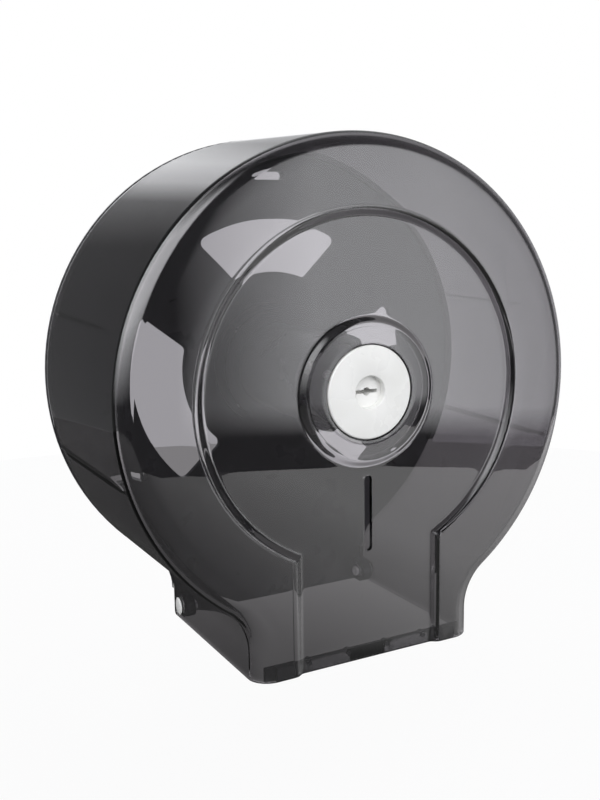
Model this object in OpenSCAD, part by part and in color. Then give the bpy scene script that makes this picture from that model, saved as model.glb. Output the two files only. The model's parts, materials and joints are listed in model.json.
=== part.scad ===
// Wall-hung dispenser for jumbo toilet rolls: a dark back plate with a spindle, and a smoked
// drum-shaped cover that tips forward on two pins beside the paper mouth and locks at its centre.
// Millimetres. The modules draw in a lying frame: X right, Y up the wall, Z forward from the wall.
// hung() turns that frame so that the wall is the XZ plane and the front faces -Y.

/* [Casing] */
// Overall width, which is the drum's diameter at the wall
cover_w = 270; // [250:1:300]
// Distance from the wall to the flat border of the front
cover_d = 128; // [120:1:150]
// Wall thickness of the cover
wall_t = 2.6; // [2:0.1:3.2]
// How much smaller the drum's radius is at the front than at the wall
draft = 3.8; // [0:0.2:6]
// Rounding of the drum's front edge
edge_r = 8; // [5:0.5:10]
// Rounding of the two upright front corners of the mouth
corner_r = 12; // [8:0.5:14]

/* [Paper mouth] */
// Width of the mouth outside
mouth_w = 132.6; // [120:0.2:150]
// How far the mouth's edge at the wall lies below the drum
mouth_reach = 15.3; // [14:0.1:20]
// How much higher the mouth's edge is at the front than at the wall
mouth_rise = 5.3; // [0:0.1:8]
// Radius of the hollow that joins the drum to the mouth
neck_r = 30; // [20:1:40]

/* [Front panel] */
// Radius of the arch that bounds the sunk panel
arch_r = 93.3; // [80:0.1:105]
// Half width of the panel's straight sides
arch_half = 43; // [36:0.5:50]
// Depth of the panel below the border
step_h = 2.5; // [1.5:0.1:3.5]
// Width of the sloping edge of the panel
step_w = 3.4; // [2:0.1:5]
// Width of the upright sight slot
slot_w = 4.5; // [3:0.1:7]
// Length of the sight slot
slot_len = 41; // [25:1:46]
// Gap between the lock collar and the top of the sight slot
slot_gap = 5; // [3:0.5:8]

/* [Lock collar] */
// Radius of the raised collar at its foot
collar_r = 39.4; // [36:0.2:44]
// Width of the collar's sloping edge
collar_slope = 3.2; // [2:0.1:5]
// Height of the collar above the panel
collar_h = 2.7; // [2.4:0.1:4]
// Diameter of the white rosette
rosette_d = 49; // [44:0.5:54]
// Thickness of the rosette's plate
rosette_t = 1.6; // [1.2:0.1:2.2]
// How far the rosette stands above the collar
rosette_proud = 0.2; // [0:0.1:0.6]
// Thickness of the gasket under the rosette
gasket_t = 0.4; // [0.3:0.1:0.8]
// Gap between the rosette's rim and its seat in the collar
rosette_gap = 0.7; // [0.4:0.1:1]

/* [Lock] */
// Diameter of the barrel behind the rosette
barrel_d = 26; // [24:0.5:28]
// Length of the barrel behind the rosette's plate
barrel_len = 20.8; // [20:0.2:21.4]
// Diameter of the turning plug
plug_d = 17; // [15:0.5:18]
// How far the plug's face lies below the rosette's face
plug_recess = 4.2; // [3:0.1:5]
// Diameter of the plug's neck
plug_neck_d = 10; // [9.4:0.1:11]
// Side of the square tail that drives the cam
tail_side = 6.6; // [6:0.1:7]
// Length of the key slot
key_slot_len = 12.6; // [10:0.1:14]
// Height of the key slot
key_slot_h = 2; // [1.2:0.1:2.4]
// Diameter of the round middle of the key slot
key_hole_d = 4.4; // [3:0.1:5]
// Depth of the key slot
key_slot_depth = 8; // [5:0.5:9]
// Reach of the cam from its axis
cam_reach = 13; // [12:0.1:13.4]
// Width of the cam's arm
cam_w = 7; // [6:0.1:8]
// Thickness of the cam
cam_t = 2.5; // [2:0.1:3]
// Width across the flats of the nut on the barrel
nut_flats = 36; // [33:0.5:40]
// Thickness of the nut
nut_t = 6; // [4:0.5:7]
// Thickness of the washer under the nut
nut_washer_t = 1; // [0.8:0.1:1.6]

/* [Back plate] */
// Thickness of the flange that the cover's edge meets
flange_t = 2.4; // [2:0.1:3.5]
// Thickness of the plate
plate_t = 3; // [2.5:0.1:4]
// Distance from the wall to the plate's front face
plate_front = 6.5; // [6:0.1:8]
// Thickness of the plate's rim and ribs
rim_t = 2.4; // [2:0.1:3]
// Distance from the wall to the front of the lip that the cover slips over
lip_front = 10; // [8.5:0.1:11]
// Height below the roll axis where that lip ends
lip_end = 60; // [40:1:70]
// Gap between the lip and the cover
lip_gap = 0.8; // [0.7:0.1:1.2]
// Gap between the plate's rim and the cover, which leaves the cover room to swing
rim_gap = 1.6; // [1.5:0.1:2.5]

/* [Windows in the back plate] */
// Inner radius of the windows
window_in = 56.5; // [50:0.5:60]
// Outer radius of the windows
window_out = 88.2; // [80:0.2:94]
// Rounding of the windows' corners
window_corner = 4; // [2:0.5:6]
// Height above the roll axis of the point where the top window's ends would meet
top_tip = 28.8; // [22:0.2:32]
// Angle between an end of the top window and the upright
top_spread = 45; // [38:1:48]
// Sideways distance from the roll axis to the point where a side window's ends would meet
side_tip = 7; // [2:0.5:12]
// Drop of that point below the roll axis
side_tip_drop = 24.4; // [18:0.2:30]
// Angle between an end of a side window and the level
side_spread = 38; // [32:1:42]

/* [Wall screws] */
// Height of the top screw slot above the roll axis
screw_high = 113.8; // [108:0.1:116]
// Sideways distance from the roll axis to the middle of a lower screw slot
screw_side = 92; // [88:0.5:94]
// Depth of the lower screw slots below the roll axis
screw_low = 60.5; // [52:0.5:64]
// Length of the screw slots
screw_slot_len = 21; // [14:0.5:22]
// Height of the screw slots
screw_slot_h = 5; // [4.5:0.1:6]
// Width of the raised seat round a screw slot, on the plate's back
screw_seat = 3; // [2:0.1:3.5]

/* [Hinge] */
// Distance from the wall to the hinge axis
hinge_fwd = 13; // [12.8:0.1:16]
// Height of the hinge axis above the mouth's edge at the wall
hinge_up = 8.8; // [8:0.1:10]
// Diameter of the hinge pins
pin_d = 6; // [5:0.1:7]
// Diameter of the pins' heads
pin_head_d = 10.4; // [9.5:0.1:12]
// Thickness of the pins' heads
pin_head_t = 1.3; // [1:0.1:2]
// Wall of the bush between pin and cover
bush_t = 1; // [0.8:0.1:1.5]
// Thickness of the plate's hinge ears
ear_t = 6; // [5:0.5:8]
// Radius of the rear lower corners of the cover beside the hinge
heel_r = 4; // [4:0.5:7]

/* [Spindle] */
// Outer diameter of the fixed post
post_d = 34; // [33:0.5:36]
// Wall thickness of the post
post_t = 2.5; // [2.2:0.1:2.6]
// Diameter of the post's foot
foot_d = 76; // [70:1:84]
// Thickness of the post's foot
foot_t = 3; // [2.5:0.5:4]
// Gap between the catch plate and the barrel, where the plug's washer and clip lie
catch_gap = 5; // [4:0.5:6]
// Outer diameter of the turning sleeve, which the roll's core slips over
sleeve_d = 52; // [48:0.5:56]
// Wall thickness of the sleeve's two tubes
sleeve_t = 2.4; // [2:0.1:2.8]
// Number of ribs between the sleeve's tubes
sleeve_ribs = 6; // [4:1:10]
// Thickness of the sleeve's ribs
sleeve_rib_t = 2.4; // [2:0.1:4]
// Diameter of the sleeve's rear collar, which guides the roll
guide_d = 68; // [60:1:74]
// Thickness of the catch plate on the post's end
catch_t = 3; // [2.5:0.1:3.5]
// Diameter of the catch plate
catch_d = 42; // [40:0.5:46]

/* [Tear bar] */
// Distance from the tear bar's ends to the outer sides of the mouth
tear_inset = 6.8; // [6.6:0.1:12]
// Height of the tear bar
tear_h = 7; // [6:0.5:10]
// Thickness of the tear bar
tear_t = 2; // [1.6:0.1:2.6]
// Thickness of the toothed ledge along the bar's lower edge
ledge_t = 1.4; // [1:0.1:2]
// How far the ledge stands towards the wall, without its teeth
ledge_w = 1.2; // [0.6:0.1:2]
// Distance from tooth to tooth
tooth_pitch = 2.5; // [2:0.25:4]
// Length of a tooth
tooth_h = 1.6; // [1:0.1:2]

/* [Fits] */
// Radial clearance of the parts that turn on each other
run_fit = 0.05; // [0.02:0.01:0.09]
// Gap between parts of different bodies that face each other
body_gap = 0.4; // [0.3:0.05:0.6]
// Gap between the closed cover's edge and the flange
seam = 0.2; // [0.1:0.05:0.4]
// Radial clearance of the fastened parts
seat_fit = 0.1; // [0.05:0.05:0.3]

/* [Hidden] */
$fn = 96;

smoke = [0.27, 0.26, 0.28, 0.55];
dark = [0.10, 0.10, 0.11];
white = [0.93, 0.93, 0.92];
steel = [0.72, 0.73, 0.75];
black = [0.05, 0.05, 0.05];

eps = 0.01;
cut = 1; // how far a cutter runs past the face it cuts
drum_r = cover_w / 2;
half_w = mouth_w / 2;
mouth_drop = drum_r + mouth_reach;
mouth_low = -mouth_drop;
cover_back = flange_t + seam; // edge of the closed cover
panel_z = cover_d - step_h; // outer face of the sunk panel
panel_in = panel_z - wall_t; // its inner face
border_in = cover_d - wall_t; // inner face of the border
collar_z = panel_z + collar_h; // front of the collar
collar_top_r = collar_r - collar_slope;
bump_r = arch_r + wall_t / 2; // the panel's back stands into the drum by this outline
bump_half = arch_half + wall_t / 2;

rosette_face = collar_z + rosette_proud;
rosette_back = rosette_face - rosette_t;
seat_z = rosette_back - gasket_t; // floor of the rosette's seat
seat_r = rosette_d / 2 + rosette_gap;
collar_back = seat_z - wall_t + 0.4; // inner face behind the seat
collar_hollow_r = collar_top_r - wall_t;
barrel_r = barrel_d / 2;
barrel_end = rosette_back - barrel_len;
nut_front = collar_back - nut_washer_t;

plug_r = plug_d / 2;
plug_face = rosette_face - plug_recess;
neck_turn_r = plug_neck_d / 2; // radius of the plug's neck
shoulder_t = 5; // rear wall of the barrel, which the plug's head bears on
shoulder_z = barrel_end + shoulder_t;
clip_t = 1;
wave_t = 0.8;
wave_z = barrel_end - wave_t - seat_fit;
clip_z = wave_z - clip_t - seat_fit;

post_front = barrel_end - catch_gap - catch_t;
catch_z = post_front; // rear face of the catch plate
cam_front = catch_z - 0.7;
cam_back = cam_front - cam_t;
cam_hub_r = 6.5;
cam_screw_head_r = 4;
cam_screw_head_t = 2.4;
cam_screw_r = 1.6;
cam_screw_len = 8;

bush_flange_t = 0.8;
rim_r = drum_r - wall_t - rim_gap; // the plate's rim, inside the cover
rim_half = half_w - wall_t - bush_flange_t - body_gap; // also the outer face of the ears
lip_r = drum_r - wall_t - lip_gap;
lip_t = rim_t + 0.4;
rim_neck = neck_r + wall_t + rim_gap;
plate_back = plate_front - plate_t;
hinge_y = mouth_low + hinge_up;
plate_low = mouth_low + 1.3; // lower edge of the plate
flange_low = hinge_y + 14.5; // the flange ends above the hinge, where the cover swings past
side_rim_front = 9;

pin_r = pin_d / 2;
bush_r = pin_r + run_fit + bush_t;
bush_flange_r = bush_r + 1.2;
cover_side_in = half_w - wall_t; // inner face of the mouth's side wall
ear_in = rim_half - ear_t;
ear_r = 7;
clip_gap = 0.2;
pin_clip_t = 1;
pin_tip = 2;

post_r = post_d / 2;
post_in = post_r - post_t;
foot_front = plate_front + foot_t;
foot_screw_pcd = foot_d - 14;
foot_screws = 4;
foot_screw_r = 1.9;
foot_screw_head_r = 3.3;
foot_screw_head_t = 2;
boss_r = 4.6;
hub_boss_r = post_r + 1; // the plate rests on the wall behind the post
shoulder_front = foot_front + foot_screw_head_t + 1; // the post's shoulder carries the sleeve
post_shoulder_r = post_r + 3;
washer_t = 0.8;
washer_front = shoulder_front + washer_t;
sleeve_back = washer_front + 0.3;
sleeve_front = post_front - body_gap;
sleeve_in = post_r + run_fit;
sleeve_out = sleeve_in + sleeve_t;
sleeve_r = sleeve_d / 2;
sleeve_lead = 2; // sloping front edge, where the roll's core slips on
sleeve_shell_front = sleeve_front - 4; // front of the outer tube
guide_t = 2;

catch_left = cam_hub_r + 1.1; // opening of the catch plate, left of the axis
catch_right = cam_reach + 2;
catch_up = cam_hub_r + 1;
catch_down = cam_hub_r + 6.5; // the lock drops this far as the cover swings open
catch_screw_at = post_in - 2.1;
catch_screw_angle = 30; // above and below the level, on the left
catch_screw_r = 1.3;
catch_screw_head_r = 2.6;
catch_screw_head_t = 1.6;
catch_boss_r = 3.2;
catch_screw_len = 10;

tear_low = mouth_low + mouth_rise * border_in / cover_d;
tear_back = panel_in - tear_t;
tear_half = half_w - tear_inset;
tear_end = half_w - corner_r; // outer end of the thick part, where the front starts to round off
ledge_in = 1; // how much shorter than the bar the ledge is at each end
rivet_r = 1.2;
rivet_head_r = 2.3;
rivet_head_t = 1;
rivet_bite = 1.5;
rivet_at = [-1, -1 / 3, 1 / 3, 1] * (arch_half - 8);

module hung() rotate([90, 0, 0]) children();

// A cylinder from height z0 to z1
module rod(r, z0, z1) translate([0, 0, z0]) cylinder(r = r, h = z1 - z0);

module ring(r_out, r_in, z0, z1) difference() {
    rod(r_out, z0, z1);
    rod(r_in, z0 - cut, z1 + cut);
}

// A prism with the given outline from height z0 to z1
module slab(outline, z0, z1) translate([0, 0, z0]) linear_extrude(z1 - z0) polygon(outline);

module block(x0, x1, y0, y1, z0, z1) translate([x0, y0, z0]) cube([x1 - x0, y1 - y0, z1 - z0]);

// A cylinder along X from x0 to x1, on the hinge axis
module hinge_rod(r, x0, x1) translate([x0, hinge_y, hinge_fwd]) rotate([0, 90, 0])
    cylinder(r = r, h = x1 - x0);

// Copies for screws on a circle
module around(count, pcd, start = 0) for (i = [0:count - 1])
    rotate(start + i * 360 / count) translate([pcd / 2, 0, 0]) children();

// Points on an arc, without its last one
function arc(x, y, r, from, to, steps) =
    [for (i = [0:steps - 1]) let (a = from + (to - from) * i / steps) [x + r * cos(a), y + r * sin(a)]];

// Outline of the casing from the front: mouth, hollow neck, drum, hollow neck, mouth
neck_steps = 8;
drum_steps = 96;
function casing(r, half, neck, low) = let (
    nx = half + neck,
    ny = -sqrt(pow(r + neck, 2) - nx * nx),
    a = atan2(ny, nx)
) concat(
    [[half, low]],
    arc(nx, ny, neck, 180, 180 + a, neck_steps),
    arc(0, 0, r, a, 180 - a, drum_steps),
    arc(-nx, ny, neck, -a, 0, neck_steps),
    [[-half, ny], [-half, low]]
);

// How far a rounded front edge of radius r has turned in at height z
function turned_in(z, top, r) = z <= top - r ? 0 : r - sqrt(max(0, r * r - pow(z - top + r, 2)));

// One cross-section of the casing at height z, drawn in by t
function casing_at(z, t, top, low) = let (
    drum_in = t + turned_in(z, top, edge_r - t),
    mouth_in = t + turned_in(z, top, corner_r - t)
) casing(drum_r - draft * z / cover_d - drum_in, half_w - mouth_in, neck_r + t, low);

function mouth_edge(z) = mouth_low + mouth_rise * z / cover_d;

// A closed solid through a stack of cross-sections with equal point counts
module loft(levels, outlines) {
    n = len(outlines[0]);
    last = len(levels) - 1;
    hub = [0, mouth_low / 4];
    points = concat(
        [for (k = [0:last]) for (p = outlines[k]) [p[0], p[1], levels[k]]],
        [[hub[0], hub[1], levels[0]], [hub[0], hub[1], levels[last]]]
    );
    foot = n * (last + 1);
    sides = [for (k = [0:last - 1]) for (i = [0:n - 1]) let (
        a = k * n + i, b = k * n + (i + 1) % n
    ) each [[a, a + n, b], [b, a + n, b + n]]];
    caps = [for (i = [0:n - 1]) let (j = (i + 1) % n)
        each [[foot, i, j], [foot + 1, last * n + j, last * n + i]]];
    polyhedron(points, concat(sides, caps), convexity = 6);
}

// The casing as a solid from height z0, with its walls drawn in by t
module casing_solid(t, z0, extra_low) {
    top = cover_d - t;
    turn = corner_r - t;
    levels = concat([z0], [for (a = [0:15:90]) top - turn + turn * sin(a)]);
    loft(levels, [for (z = levels) casing_at(z, t, top, mouth_edge(z) - extra_low)]);
}

// The panel's outline as a solid: a disc and the straight strip below it, sloping by slope
module arch_solid(r, half, z0, z1, slope) {
    translate([0, 0, z0]) cylinder(r1 = r - slope, r2 = r, h = z1 - z0);
    translate([0, 0, 0]) rotate([90, 0, 0]) linear_extrude(mouth_drop + cut)
        polygon([[half - slope, z0], [half, z1], [-half, z1], [slope - half, z0]]);
}

// Top of the sight slot
slot_top = -(collar_r + slot_gap);

module sight_slot() {
    for (y = [slot_top - slot_w / 2, slot_top - slot_len + slot_w / 2])
        translate([0, y, 0]) rod(slot_w / 2, panel_in - cut, panel_z + cut);
    block(-slot_w / 2, slot_w / 2, slot_top - slot_len + slot_w / 2, slot_top - slot_w / 2,
        panel_in - cut, panel_z + cut);
}

// The wedge outside a rounded corner of the cover's side walls, beside the hinge
module heel_cutters() difference() {
    block(-half_w - cut, half_w + cut, mouth_edge(0) - cut, mouth_edge(0) + heel_r,
        cover_back - cut, cover_back + heel_r);
    translate([-half_w - 2 * cut, mouth_edge(0) + heel_r, cover_back + heel_r]) rotate([0, 90, 0])
        cylinder(r = heel_r, h = mouth_w + 4 * cut);
}

module cover_shell() color(smoke) hung() difference() {
    union() {
        difference() {
            casing_solid(0, cover_back, 0);
            difference() {
                casing_solid(wall_t, cover_back - cut, 2 * mouth_rise + cut);
                arch_solid(bump_r, bump_half, panel_in, cover_d, 0);
            }
            // the sunk panel, its slope carried on past the border
            arch_solid(arch_r + step_w * cut / step_h, arch_half + step_w * cut / step_h,
                panel_z, cover_d + cut, step_w * (1 + cut / step_h));
        }
        translate([0, 0, panel_z - eps]) cylinder(r1 = collar_r, r2 = collar_top_r, h = collar_h + eps);
    }
    rod(seat_r, seat_z, collar_z + cut);
    rod(barrel_r + seat_fit, panel_in - cut, collar_z + cut);
    rod(collar_hollow_r, panel_in - cut, collar_back);
    sight_slot();
    hinge_rod(bush_r, -half_w - cut, -cover_side_in + cut);
    hinge_rod(bush_r, cover_side_in - cut, half_w + cut);
    rivet_places() rod(rivet_r, panel_in - cut, panel_in + rivet_bite);
    heel_cutters();
}

// A window: the part of a ring that lies in a wedge with its tip off the axis
module window_2d(tip, aim, spread) offset(r = window_corner) offset(delta = -window_corner) intersection() {
    reach = 2 * window_out;
    half = reach * tan(spread);
    difference() {
        circle(window_out);
        circle(window_in);
    }
    translate(tip) rotate(aim) polygon([[0, 0], [reach, -half], [reach, half]]);
}

module windows_2d() {
    window_2d([0, top_tip], 90, top_spread);
    window_2d([side_tip, -side_tip_drop], 0, side_spread);
    window_2d([-side_tip, -side_tip_drop], 180, side_spread);
}

// The slots for the wall screws, or the seats round them
module screw_slots(wider, z0, z1) {
    reach = (screw_slot_len - screw_slot_h) / 2;
    for (at = [[0, screw_high], [screw_side, -screw_low], [-screw_side, -screw_low]])
        translate([at[0], at[1], z0]) linear_extrude(z1 - z0) {
            for (x = [-reach, reach]) translate([x, 0]) circle(screw_slot_h / 2 + wider);
            square([2 * reach, screw_slot_h + 2 * wider], center = true);
        }
}

// Lugs on the plate that carry the hinge pins
module ear(side) {
    x0 = side < 0 ? -rim_half : ear_in;
    hinge_rod(ear_r, x0, x0 + ear_t);
    block(x0, x0 + ear_t, hinge_y - ear_r, hinge_y + ear_r, plate_back, hinge_fwd);
}

module back_plate() color(dark) hung() difference() {
    rim = casing(rim_r, rim_half, rim_neck, plate_low);
    inside = casing(rim_r - rim_t, rim_half - rim_t, rim_neck + rim_t, plate_low + rim_t);
    union() {
        // flange, rim and lip round an open back
        difference() {
            union() {
                slab(casing(drum_r, half_w, neck_r, flange_low), 0, flange_t);
                slab(rim, 0, plate_front);
            }
            slab(inside, -cut, plate_back);
        }
        difference() {
            ring(lip_r, lip_r - lip_t, flange_t / 2, lip_front);
            block(-drum_r, drum_r, -drum_r, -lip_end, 0, lip_front + cut);
        }
        // side rims of the mouth
        for (side = [0, 1]) mirror([side, 0, 0])
            block(rim_half - rim_t, rim_half, plate_low, flange_low, 0, side_rim_front);
        rod(hub_boss_r, 0, plate_front - eps);
        around(foot_screws, foot_screw_pcd, 45) rod(boss_r, 0, plate_front - eps);
        screw_slots(screw_seat, 0, plate_front - eps);
        // ribs behind the plate
        for (a = [40, 140]) rotate(a)
            block(hub_boss_r - 1, rim_r - rim_t / 2, -rim_t / 2, rim_t / 2, 0, plate_back + eps);
        for (x = [-1, 1] * foot_d / 4)
            block(x - rim_t / 2, x + rim_t / 2, plate_low + 1, -window_in / 4, 0, plate_back + eps);
        ear(-1);
        ear(1);
    }
    translate([0, 0, plate_back - cut]) linear_extrude(plate_t + 2 * cut) windows_2d();
    screw_slots(0, -cut, plate_front + cut);
    around(foot_screws, foot_screw_pcd, 45) rod(foot_screw_r, 1, plate_front + cut);
    for (side = [-1, 1]) hinge_rod(pin_r + seat_fit, side < 0 ? -rim_half - cut : ear_in - cut,
        side < 0 ? -ear_in + cut : rim_half + cut);
}

module catch_screw_places() for (side = [-1, 1])
    rotate(180 + side * catch_screw_angle) translate([catch_screw_at, 0, 0]) children();

module spindle_post() color(dark) hung() difference() {
    union() {
        rod(foot_d / 2, plate_front, foot_front);
        rod(post_shoulder_r, foot_front - eps, shoulder_front);
        ring(post_r, post_in, foot_front - eps, post_front);
        intersection() {
            catch_screw_places() rod(catch_boss_r, post_front - catch_screw_len - 3, post_front);
            rod(post_r - eps, foot_front, post_front);
        }
    }
    rod(post_in, foot_front, post_front - catch_screw_len - 3);
    around(foot_screws, foot_screw_pcd, 45) rod(foot_screw_r + seat_fit, plate_front - cut, foot_front + cut);
    catch_screw_places() rod(catch_screw_r, post_front - catch_screw_len - 1, post_front + cut);
}

module post_screws() color(steel) hung() around(foot_screws, foot_screw_pcd, 45) difference() {
    union() {
        rod(foot_screw_r - eps, 1.5, foot_front + eps);
        rod(foot_screw_head_r, foot_front, foot_front + foot_screw_head_t);
    }
    cross_slot(foot_front + foot_screw_head_t);
}

// Cross-shaped driver recess in a screw head whose top is at height z
module cross_slot(z) for (a = [0, 90]) rotate(a) block(-1.4, 1.4, -0.35, 0.35, z - 0.9, z + cut);

module wear_washer() color(white) hung()
    ring(post_shoulder_r, post_r + seat_fit, shoulder_front, washer_front);

module catch_plate() color(dark) hung() difference() {
    rod(catch_d / 2, catch_z, catch_z + catch_t);
    block(-catch_left, catch_right, -catch_down, catch_up, catch_z - cut, catch_z + catch_t + cut);
    catch_screw_places() rod(catch_screw_r + seat_fit, catch_z - cut, catch_z + catch_t + cut);
}

module catch_screws() color(steel) hung() catch_screw_places() difference() {
    union() {
        rod(catch_screw_r - eps, post_front - catch_screw_len, catch_z + catch_t + eps);
        rod(catch_screw_head_r, catch_z + catch_t, catch_z + catch_t + catch_screw_head_t);
    }
    cross_slot(catch_z + catch_t + catch_screw_head_t);
}

// A hinge pin for one side: domed head outside the cover, shank through bush and ear, groove for the clip
module hinge_pin(side) {
    head_x = half_w + body_gap;
    groove_x = ear_in - clip_gap - pin_clip_t;
    color(white) hung() mirror([side < 0 ? 1 : 0, 0, 0]) difference() {
        union() {
            hinge_rod(pin_r, groove_x - pin_tip, head_x + eps);
            hinge_rod(pin_head_d / 2, head_x, head_x + pin_head_t * 0.6);
            translate([head_x + pin_head_t * 0.6, hinge_y, hinge_fwd]) rotate([0, 90, 0])
                cylinder(r1 = pin_head_d / 2, r2 = pin_head_d / 2 - 1, h = pin_head_t * 0.4);
        }
        difference() {
            hinge_rod(pin_r + cut, groove_x - seat_fit, groove_x + pin_clip_t + seat_fit);
            hinge_rod(pin_r - 0.6, groove_x - cut, groove_x + pin_clip_t + cut);
        }
    }
}

module hinge_pin_left() hinge_pin(-1);
module hinge_pin_right() hinge_pin(1);

module pin_clips() color(steel) hung() for (side = [0, 1]) mirror([side, 0, 0]) difference() {
    x0 = ear_in - clip_gap - pin_clip_t;
    hinge_rod(pin_r + 2, x0, x0 + pin_clip_t);
    hinge_rod(pin_r - 0.6 + seat_fit, x0 - cut, x0 + pin_clip_t + cut);
    // the open side of the clip
    block(x0 - cut, x0 + pin_clip_t + cut, hinge_y - pin_r - 3, hinge_y,
        hinge_fwd - pin_r * 0.6, hinge_fwd + pin_r * 0.6);
}

module core_sleeve() color(dark) hung() difference() {
    union() {
        rod(sleeve_out, sleeve_back, sleeve_front);
        rod(guide_d / 2, sleeve_back, sleeve_back + guide_t);
        difference() {
            rotate_extrude() polygon([
                [0, sleeve_back], [sleeve_r, sleeve_back], [sleeve_r, sleeve_shell_front - sleeve_lead],
                [sleeve_r - sleeve_lead / 2, sleeve_shell_front], [0, sleeve_shell_front]
            ]);
            difference() {
                rod(sleeve_r - sleeve_t, sleeve_back + guide_t, sleeve_shell_front + cut);
                for (i = [0:sleeve_ribs - 1]) rotate(i * 360 / sleeve_ribs + 30)
                    block(0, sleeve_r, -sleeve_rib_t / 2, sleeve_rib_t / 2,
                        sleeve_back, sleeve_shell_front - sleeve_lead);
            }
        }
    }
    rod(sleeve_in, sleeve_back - cut, sleeve_front + cut);
}

module hinge_bush(side) color(white) hung() mirror([side < 0 ? 1 : 0, 0, 0]) difference() {
    union() {
        hinge_rod(bush_r - 0.02, cover_side_in - eps, half_w);
        hinge_rod(bush_flange_r, cover_side_in - bush_flange_t, cover_side_in);
    }
    hinge_rod(pin_r + run_fit, cover_side_in - bush_flange_t - cut, half_w + cut);
}

module hinge_bush_left() hinge_bush(-1);
module hinge_bush_right() hinge_bush(1);

module rivet_places() for (x = rivet_at) translate([x, tear_low + tear_h * 0.7, 0]) children();

// Strip along the inside of the front's lower edge, with a toothed ledge towards the wall; its outer
// parts are thicker, to reach the border
module tear_bar() color(black) hung() difference() {
    teeth = floor(2 * (tear_half - ledge_in) / tooth_pitch);
    first = -teeth * tooth_pitch / 2;
    root = tear_back - ledge_w;
    union() {
        block(-tear_half, tear_half, tear_low, tear_low + tear_h, tear_back, panel_in);
        for (side = [0, 1]) mirror([side, 0, 0])
            block(bump_half + 0.3, tear_end, tear_low, tear_low + tear_h, tear_back, border_in);
        translate([0, tear_low + ledge_t, 0]) rotate([90, 0, 0]) linear_extrude(ledge_t) polygon(concat(
            [[-first, tear_back + 1], [first, tear_back + 1]],
            [for (i = [0:teeth - 1]) each [
                [first + i * tooth_pitch, root],
                [first + (i + 0.5) * tooth_pitch, root - tooth_h]
            ]],
            [[-first, root]]
        ));
    }
    rivet_places() rod(rivet_r + 0.05, tear_back - cut, panel_in + cut);
}

module tear_bar_rivets() color(black) hung() rivet_places() {
    rod(rivet_r - eps, tear_back - eps, panel_in + rivet_bite - 0.1);
    rod(rivet_head_r, tear_back - rivet_head_t, tear_back);
}

module rosette_gasket() color(black) hung()
    ring(seat_r - seat_fit, barrel_r + seat_fit, seat_z, rosette_back);

module lock_rosette() color(white) hung() difference() {
    union() {
        rod(rosette_d / 2, rosette_back, rosette_face - 0.4);
        translate([0, 0, rosette_face - 0.4]) cylinder(r1 = rosette_d / 2, r2 = rosette_d / 2 - 0.4, h = 0.4);
        rod(barrel_r, barrel_end, rosette_back + eps);
    }
    rod(plug_r + run_fit, shoulder_z, rosette_face + cut);
    rod(neck_turn_r + run_fit, barrel_end - cut, shoulder_z + cut);
}

module nut_washer() color(steel) hung()
    ring(barrel_r + 6, barrel_r + seat_fit, nut_front, collar_back);

module lock_nut() color(white) hung() difference() {
    translate([0, 0, nut_front - nut_t]) cylinder(r = nut_flats / sqrt(3), h = nut_t, $fn = 6);
    rod(barrel_r + seat_fit / 2, nut_front - nut_t - cut, nut_front + cut);
}

module lock_plug() color(white) hung() difference() {
    union() {
        rod(plug_r, shoulder_z + seat_fit, plug_face);
        rod(neck_turn_r, cam_front, shoulder_z + seat_fit + eps);
        block(-tail_side / 2, tail_side / 2, -tail_side / 2, tail_side / 2, cam_back, cam_front + eps);
    }
    // key slot with its round middle
    block(-key_slot_len / 2, key_slot_len / 2, -key_slot_h / 2, key_slot_h / 2,
        plug_face - key_slot_depth, plug_face + cut);
    rod(key_hole_d / 2, plug_face - key_slot_depth, plug_face + cut);
    // groove for the clip, and the cam screw's hole
    ring(neck_turn_r + cut, neck_turn_r - 0.8, clip_z - seat_fit, clip_z + clip_t + seat_fit);
    rod(cam_screw_r, cam_back - cut, cam_back + cam_screw_len + 1);
}

module wave_washer() color(steel) hung()
    ring(neck_turn_r + 3, neck_turn_r + seat_fit, wave_z, wave_z + wave_t);

module plug_clip() color(steel) hung() difference() {
    ring(neck_turn_r + 2.5, neck_turn_r - 0.8 + seat_fit, clip_z, clip_z + clip_t);
    block(-neck_turn_r * 0.6, neck_turn_r * 0.6, -neck_turn_r - 3, 0,
        clip_z - cut, clip_z + clip_t + cut);
}

// The cam points to the right while the cover is free, and up behind the catch plate when locked
module lock_cam() color(steel) hung() difference() {
    union() {
        rod(cam_hub_r, cam_back, cam_front);
        block(0, cam_reach - cam_w / 2, -cam_w / 2, cam_w / 2, cam_back, cam_front);
        translate([cam_reach - cam_w / 2, 0, 0]) rod(cam_w / 2, cam_back, cam_front);
    }
    hole = tail_side / 2 + seat_fit;
    block(-hole, hole, -hole, hole, cam_back - cut, cam_front + cut);
}

module cam_screw() color(steel) hung() difference() {
    union() {
        rod(cam_screw_r - eps, cam_back - eps, cam_back + cam_screw_len);
        rod(cam_screw_head_r, cam_back - cam_screw_head_t, cam_back);
    }
    head_z = cam_back - cam_screw_head_t;
    for (a = [0, 90]) rotate(a) block(-1.8, 1.8, -0.4, 0.4, head_z - cut, head_z + 1);
}

back_plate();
spindle_post();
post_screws();
wear_washer();
catch_plate();
catch_screws();
hinge_pin_left();
hinge_pin_right();
pin_clips();
core_sleeve();
cover_shell();
hinge_bush_left();
hinge_bush_right();
tear_bar();
tear_bar_rivets();
rosette_gasket();
lock_rosette();
nut_washer();
lock_nut();
lock_plug();
wave_washer();
plug_clip();
lock_cam();
cam_screw();
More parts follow.
